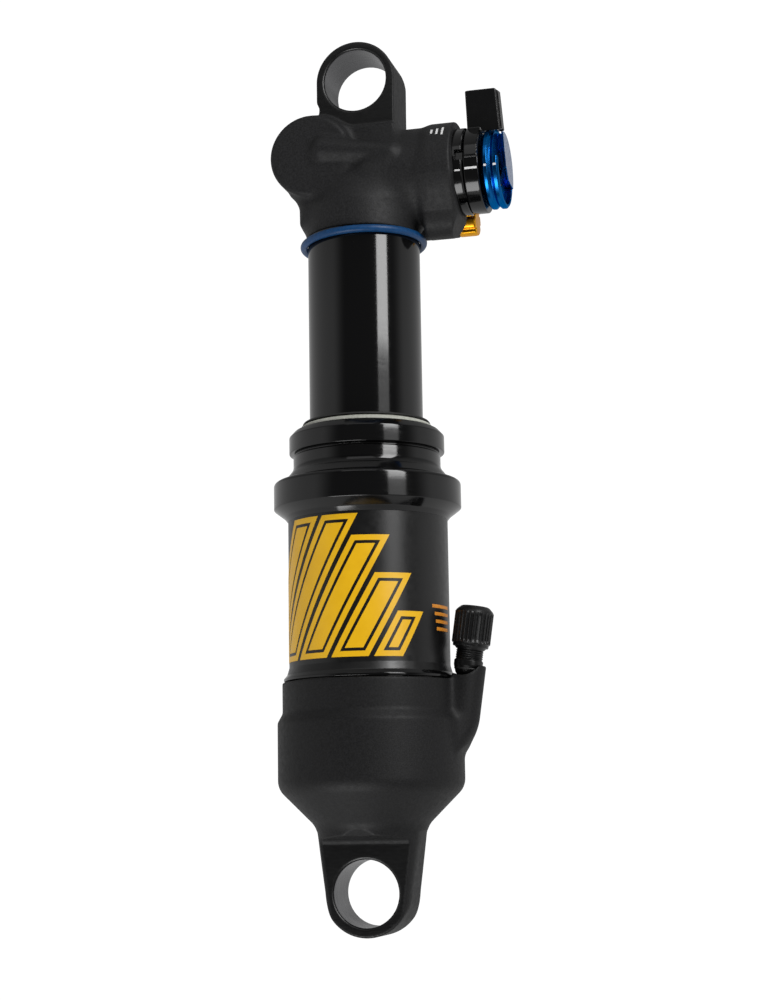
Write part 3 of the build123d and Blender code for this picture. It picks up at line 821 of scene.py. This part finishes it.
def make_valve_stem(kit):
    """Stem with a round base that sits in the boss's scoop, fine threads and a plain neck."""
    corners = [
        (0, -15.6, 0),
        (2.2, -15.6, 0),
        (2.2, -11.6, 0.3),
        (2.75, -10.9, 0.6),
        (3.3, -9.2, 1.2),
        (3.3, -8.1, 0.2),
        (3.1, -7.95, 0),
    ]
    pitch, height = 0.5, -7.7
    while height < -5.6:
        corners += [(2.95, height, 0), (3.15, height + pitch / 2, 0)]
        height += pitch
    corners += [(3.2, -5.5, 0), (3.75, -4.9, 0)]
    height = -4.6
    while height < 1.7:
        corners += [(3.5, height, 0), (3.75, height + pitch / 2, 0)]
        height += pitch
    corners += [(3.3, 2.4, 0.2), (1.9, 2.4, 0.15), (1.9, -12.5, 0)]
    corners += [(1.2, -12.5, 0), (1.2, -15.0, 0), (0, -15.0, 0)]
    return lathe("valve_body", corners, kit["stem"], ALONG_VALVE, 96)


def make_valve_cap(kit):
    """Dust cap with ribs around it, a domed top and a plain lip at the bottom."""

    def ribs(angle, r, h):
        if r < 3.9 or h < -4.1 or h > 2.9:
            return r
        fade = min(1.0, (h + 4.1) / 0.35, (2.9 - h) / 0.5)
        groove = max(0.0, math.cos(28 * angle)) ** 0.7
        return r - 0.3 * fade * (1 - groove)

    corners = [
        (0, 3.25, 0),
        (3.8, 3.25, 0.2),
        (3.8, -5.0, 0.1),
        (4.05, -5.0, 0.15),
        (4.1, -4.3, 0.1),
        (4.4, -4.15, 0.1),
    ]
    corners += [(4.4, -4.15 + 7.0 * k / 14, 0) for k in range(1, 14)]
    corners += [(4.4, 2.9, 0.2), (4.1, 3.4, 0.5), (3.1, 4.35, 1.2), (0, 4.55, 0)]
    return lathe("valve_dust_cap", corners, kit["cap"], ALONG_VALVE, 336, ribs, 50.0)


# ---- damper side ---------------------------------------------------------------------
def make_head(kit):
    """Cast head: collar, barrel, reservoir, web, oil gallery, chin and the upper eye."""
    f = Field((-20.6, -14.4, 150.2), (25.4, 15.2, 200.4), 0.24)
    radial = hypot(f.x, f.y)
    collar = outline_distance(
        [
            (0, HEAD_BOTTOM_Z, 0),
            (13.5, HEAD_BOTTOM_Z, 0.35),
            (13.7, 159.2, 4.0),
            (11.2, 165.4, 3.0),
            (0, 168.0, 0),
        ],
        radial,
        f.z,
    )
    girth = BARREL_R - 0.6 * (1 - ramp(f.x, 15.2, 18.4)) - 2.0 * (1 - ramp(f.x, -4.0, 7.0))
    barrel = prism(hypot(f.y, f.z - BARREL_Z) - girth, f.x, -8.0, BARREL_END_X, 0.45)
    from_reservoir = hypot(f.x - RESERVOIR.x, f.z - RESERVOIR.z)
    reservoir = prism(from_reservoir - RESERVOIR_R, f.y, -10.3, 13.3, 1.2)
    web = outline_distance(
        [
            (-16.3, 163.2, 0.5),
            (-13.6, 159.6, 3),
            (-13.6, 156, 0),
            (0, 156, 0),
            (0, 170, 0),
            (-12, 170, 0),
        ],
        f.x,
        f.z,
    )
    web = prism(web, f.y, -7.5, 7.5, 2.5)
    neck = outline_distance(
        [
            (-9.8, 166, 0),
            (-8.9, 176, 3),
            (-8.9, 183.8, 1),
            (-UPPER_EYE_R, 185.2, 1),
            (-UPPER_EYE_R, UPPER_EYE_Z, 0),
            (UPPER_EYE_R, UPPER_EYE_Z, 0),
            (9.45, 184, 3),
            (9.45, 178, 3),
            (11.2, 166, 0),
        ],
        f.x,
        f.z,
    )
    neck = np.minimum(neck, hypot(f.x, f.z - UPPER_EYE_Z) - UPPER_EYE_R)
    neck = prism(neck, f.y, -7.6, 7.6, 0.3)
    drop = np.clip((BARREL_Z - 3.0 - f.z) / 7.6, 0, 1)
    chin = hypot(f.y + drop, f.z - BARREL_Z + 3.0 + 7.6 * drop) - 11.0 + 5.7 * drop
    chin = prism(chin, f.x, 15.6, BARREL_END_X, 1.2)
    boss = prism(hypot(f.y - REBOUND.y, f.z - REBOUND.z) - 3.4, f.x, 6.0, 21.0, 0.4)
    boss_root = np.maximum(np.abs(f.y - 8.2) - 4.2, np.abs(f.z - 160.2) - 3.0)
    boss = join(boss, prism(boss_root, f.x, 8.0, 21.0, 0.4), 0.8)
    rib = rod(f, (-7.0, -9.5, 172.3), (9.4, -10.0, 169.8), 3.0, 1.9)
    spur = rod(f, (9.2, -9.7, 169.2), (3.6, -9.7, 165.9), 1.9, 1.9)

    body = join(collar, barrel, 3.5)
    body = join(body, web, 4.0)
    body = join(body, reservoir, 1.4)
    body = join(body, neck, 2.4)
    body = join(body, chin, 2.0)
    body = join(body, boss, 1.5)
    body = join(body, rib, 1.6)
    body = join(body, spur, 1.6)

    slope = (f.x - 22.0) * 0.9 - (f.z - 150.4) * 0.436
    body = cut(body, np.maximum(-slope, f.z - 154.9), 0.3)
    body = cut(body, np.maximum(f.z - HEAD_BOTTOM_Z, f.x - 14.4))
    near = EYE_HALF_WIDTH - np.abs(f.y)
    above = corner(178.0 - f.z, RESERVOIR_R + 0.6 - from_reservoir, 2.0)
    body = cut(body, corner(near, above, 0.9), 0.4)

    from_rebound = hypot(f.y - REBOUND.y, f.z - REBOUND.z)
    from_barrel = hypot(f.y, f.z - BARREL_Z)
    holes = [
        prism(radial - 12.65, f.z, 140, 160.5),
        prism(from_barrel - 8.65, f.x, 14, 40),
        prism(from_barrel - 5.0, f.x, 1.2, 15),
        prism(from_reservoir - 8.52, f.y, -8.0, 40),
        prism(from_rebound - 2.55, f.x, 9.6, 40),
        prism(from_rebound - 3.7, f.x, 21.0, 40),
    ]
    for hole in holes:
        body = cut(body, hole, 0.12)
    body = cut(body, eye_bore(f, UPPER_EYE_Z))
    # head_black is the cast black painted lighter, standing in for the stronger light on the
    # head.
    piece = f.piece("head_casting", body, [kit["head"], kit["flat"], kit["bore"]])
    paint_eye(piece, UPPER_EYE_Z, 178.2)
    return piece


def make_tube(kit):
    """Glossy damper tube with its spigot inside the head."""
    return lathe(
        "damper_sleeve",
        [
            (11.5, 79, 0),
            (TUBE_R, 79, 0.3),
            (TUBE_R, HEAD_BOTTOM_Z, 0),
            (12.6, HEAD_BOTTOM_Z, 0),
            (12.6, 160.3, 0.3),
            (11.5, 160.3, 0),
        ],
        kit["tube"],
        segments=256,
    )


def make_travel_ring(kit):
    """O-ring, a little crooked on the tube, up against the head."""
    section, steps, around = 0.88, 20, 160
    tilt = math.radians(1.7)
    points, faces = [], []
    for i in range(around):
        angle = TURN * i / around
        for j in range(steps):
            turn = TURN * j / steps
            reach = TUBE_R + 0.92 + section * math.cos(turn)
            x, y = reach * math.cos(angle), reach * math.sin(angle)
            z = HEAD_BOTTOM_Z - 0.95 + section * math.sin(turn)
            points.append((x, y, z + (x - 14.2) * math.sin(tilt)))
            faces.append(
                (
                    i * steps + j,
                    (i + 1) % around * steps + j,
                    (i + 1) % around * steps + (j + 1) % steps,
                    i * steps + (j + 1) % steps,
                )
            )
    return add_piece("sag_ring", points, faces, kit["ring"])


def make_cartridge(kit):
    """Notched flange of the valve cartridge, with the hub that carries lever and knob."""
    piece = lathe(
        "cartridge_body",
        [
            (0, 14.2, 0),
            (8.6, 14.2, 0.3),
            (8.6, BARREL_END_X, 0),
            (FLANGE_R, BARREL_END_X, 0.2),
            (FLANGE_R, 26.0, 0.3),
            (9.9, 26.35, 0.2),
            (6.0, 26.35, 0),
            (6.0, 30.25, 0.2),
            (4.0, 30.25, 0),
            (4.0, 33.4, 0.3),
            (1.65, 33.4, 0),
            (1.65, 15.5, 0),
            (0, 15.5, 0),
        ],
        kit["gloss"],
        ALONG_X,
        192,
    )
    cutters = []
    for k in range(6):
        spin = Matrix.Rotation(math.radians(24 + 60 * k), 4, "Z")
        place = ALONG_X @ spin
        cutters.append(box_piece("notch", (9.2, -1.3, 24.6), (13, 1.3, 28), kit["gloss"], place))
    subtract(piece, cutters, kit["gloss"])
    bevel(piece, 0.12)
    return piece


def make_lever(kit):
    """Climb lever: a glossy ring and a deep satin paddle that leans forwards on it."""
    f = Field((26.2, -10.7, 156), (35.4, 10.6, 186.2), 0.14)
    axis = hypot(f.y, f.z - BARREL_Z)
    across = f.y * math.cos(LEVER_TURN) + (f.z - BARREL_Z) * math.sin(LEVER_TURN)
    height = (f.z - BARREL_Z) * math.cos(LEVER_TURN) - f.y * math.sin(LEVER_TURN)
    ring = prism(axis - LEVER_RING_R, f.x, 26.55, 30.1, 0.3)
    pad = prism(np.maximum(np.maximum(axis - 10.3, f.y - 2), 166.8 - f.z), f.x, 26.8, 29.9, 0.15)
    face = np.maximum(np.abs(across + 0.4) - 3.0, np.abs(height - 12.0) - 6.5)
    top = height - 18.45 - 0.055 * (f.x - 27)
    paddle = prism(np.maximum(face, top), f.x, 26.8, 37, 0.35)
    paddle = cut(paddle, 34.5 - f.x - 0.0465 * (height - 12), 0.6)
    slit = np.maximum(np.abs(across + 1.8) - 0.9, 32.8 - f.x)
    paddle = cut(paddle, slit, 0.15)
    paddle = cut(paddle, np.maximum(axis - 9.42, 30.1 - f.x), 0.05)
    body = join(join(ring, pad, 0.1), paddle, 0.2)
    body = cut(body, axis - 6.05, 0.1)
    piece = f.piece("lever_paddle", body, [kit["lever"], kit["gloss"]])
    for polygon in piece.data.polygons:
        spot = polygon.center / MM
        on_ring = math.hypot(spot.y, spot.z - BARREL_Z) < 10.4 and spot.x < 30.2
        polygon.material_index = 1 if on_ring else 0
    return piece


def make_knob(kit):
    """Blue knob with two ridges, a finger scallop at its top front and a cupped face."""
    piece = lathe(
        "dial_ring",
        [
            (4.05, 30.45, 0),
            (8.5, 30.45, 0.15),
            (8.9, 30.8, 0.2),
            (KNOB_R, 31.2, 0.2),
            (KNOB_R, 31.9, 0.2),
            (8.6, 32.65, 0.2),
            (KNOB_R, 33.4, 0.2),
            (KNOB_R, 34.2, 0.25),
            (8.9, 34.6, 0.2),
            (8.3, 34.6, 0.15),
            (8.2, CUP_FLOOR_X, 0.2),
            (4.05, CUP_FLOOR_X, 0),
        ],
        kit["blue"],
        ALONG_X,
        224,
    )
    scallop = lathe(
        "scallop",
        [(0, 33.32, 0), (7.9, 33.32, 0.5), (7.9, 40, 0), (0, 40, 0)],
        kit["blue"],
        Matrix.Translation(Vector((0, -6.3, 7.6))) @ ALONG_X,
        128,
    )
    subtract(piece, [scallop], kit["blue"])
    bevel(piece, 0.1)
    return piece


def make_knob_face(kit):
    """Pale textured sector with blue sides that stands above the knob's deep cup."""
    f = Field((33.0, -9.4, 157), (35.2, 9.4, 176), 0.12)
    height = f.z - BARREL_Z
    sector = outline_distance(
        [
            (-3.0, 9.6, 0.5),
            (-1.4, 4.5, 1),
            (0.4, 0.6, 1),
            (3.0, -1.9, 1.5),
            (12, -2.8, 0),
            (12, 12, 0),
            (2, 12, 0),
        ],
        f.y,
        height,
    )
    plate = prism(np.maximum(sector, hypot(f.y, height) - 8.75), f.x, 34.3, 34.85, 0.12)
    root = np.maximum(sector + 0.2, hypot(f.y, height) - 8.0)
    root = prism(root, f.x, CUP_FLOOR_X, 34.6, 0.1)
    piece = f.piece("dial_face", np.minimum(plate, root), [kit["face"], kit["blue"]])
    for polygon in piece.data.polygons:
        polygon.material_index = 0 if polygon.normal.x > 0.6 else 1
    return piece


def make_rebound_knob(kit):
    """Gold knob with six broad flutes and a rounded end."""

    def flutes(angle, r, h):
        if r < 2.6:
            return r
        return r - 0.6 * max(0.0, math.cos(6 * (angle - math.radians(19)))) ** 2.5

    corners = [
        (0, 24.0, 0),
        (1.05, 24.0, 0),
        (1.05, 21.25, 0),
        (REBOUND_KNOB_R, 21.25, 0.2),
        (REBOUND_KNOB_R, 25.6, 0.6),
        (0, 25.6, 0),
    ]
    return lathe("rebound_dial", corners, kit["gold"], ALONG_REBOUND, 192, flutes)


def make_marks(kit):
    """Plain white index marks on the barrel, the flange, the lever ring and the knob."""
    marks = [
        ("barrel_tick_1", "damper_side", BARREL_R, 18.9, 19.4, -39.0, 1.6),
        ("barrel_tick_2", "damper_side", BARREL_R, 20.2, 20.7, -39.0, 2.3),
        ("barrel_tick_3", "damper_side", BARREL_R, 21.5, 22.0, -39.0, 3.0),
        ("flange_mark", "damper_side", FLANGE_R, 24.6, 25.9, 14.8, 0.35),
        ("lever_mark", "climb_lever", LEVER_RING_R, 26.9, 29.8, 13.0, 0.5),
        ("knob_mark_1", "compression_knob", KNOB_R, 31.25, 31.85, 10.6, 0.5),
        ("knob_mark_2", "compression_knob", KNOB_R, 33.45, 34.15, 10.6, 0.5),
    ]
    for name, body, radius, low, high, angle, width in marks:
        middle = math.radians(angle) * radius
        outline = parallelogram(middle - width / 2, middle + width / 2, low, high, 0.0)
        piece = printed(name, [outline], radius, ALONG_X, kit["white"], (0.005, 0.05))
        settle(piece, body, None)


# ---- assembly ------------------------------------------------------------------------
def settle(piece, body, node):
    """Rides a piece on a body, in place of a CAD node, which it hides."""
    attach(piece, body)
    if node:
        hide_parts(node)


def dress_cad_nodes(kit):
    """Gives every CAD node that still shows its own material."""
    look_of_slot = {
        "gloss_black_alloy": "gloss",
        "black_rubber": "rubber",
        "guide_polymer": "polymer",
        "bumper_foam": "foam",
        "bright_steel": "steel",
        "plain_alloy": "alloy",
        "matte_black_alloy": "cast",
        "can_black": "can",
        "valve_black_brass": "stem",
        "cap_plastic": "cap",
        "lever_black": "lever",
        "blue_alloy": "blue",
        "knob_face_alloy": "face",
        "gold_alloy": "gold",
        "blue_rubber": "ring",
        "wiper_white": "wiper",
    }
    for part in frame["record"]["subparts"]:
        node = frame["nodes"][part["node"]]
        node.data.materials.clear()
        node.data.materials.append(kit[look_of_slot[part["material_slot"]]])


bpy.context.scene.view_settings.view_transform = "Standard"
make_camera()
make_world()
LAMPS = [
    # name, place, target, width, height, radiance
    ("strip_right", (0.622, -0.503, 0.68), (0, 0, 0.68), 0.31, 0.8, 10.0),
    ("low_front", (-0.144, -0.432, -0.536), (0, 0, 0.12), 0.45, 0.36, 5.5),
    ("high_front", (0.02, -0.36, 0.5), (0, 0, 0.19), 0.34, 0.24, 0.7),
    ("strip_low", (0.622, -0.503, 0.09), (0, 0, 0.09), 0.31, 0.38, 1.3),
]
for lamp_data in LAMPS:
    soft_box(*lamp_data)
make_stage()

KIT = make_materials()
dress_cad_nodes(KIT)

settle(make_end_cap(KIT), "can_side", "can_end_cap")
settle(make_can(KIT), "can_side", "air_can")
settle(make_seal_head(KIT), "can_side", "seal_head")
wiper_backing, wiper_edge = make_wiper(KIT)
settle(wiper_backing, "can_side", "wiper_carrier")
settle(wiper_edge, "can_side", "wiper_lip")
for print_piece in make_can_prints(KIT):
    settle(print_piece, "can_side", None)
settle(make_valve_stem(KIT), "can_side", "valve_stem")
settle(make_valve_cap(KIT), "valve_cap", "valve_cap")

settle(make_head(KIT), "damper_side", "damper_head")
settle(make_tube(KIT), "damper_side", "damper_tube")
settle(make_travel_ring(KIT), "travel_ring", "travel_ring")
settle(make_cartridge(KIT), "damper_side", "valve_cartridge")
settle(make_lever(KIT), "climb_lever", "climb_lever")
settle(make_knob(KIT), "compression_knob", "compression_knob")
settle(make_knob_face(KIT), "compression_knob", "knob_face")
settle(make_rebound_knob(KIT), "rebound_knob", "rebound_knob")
make_marks(KIT)
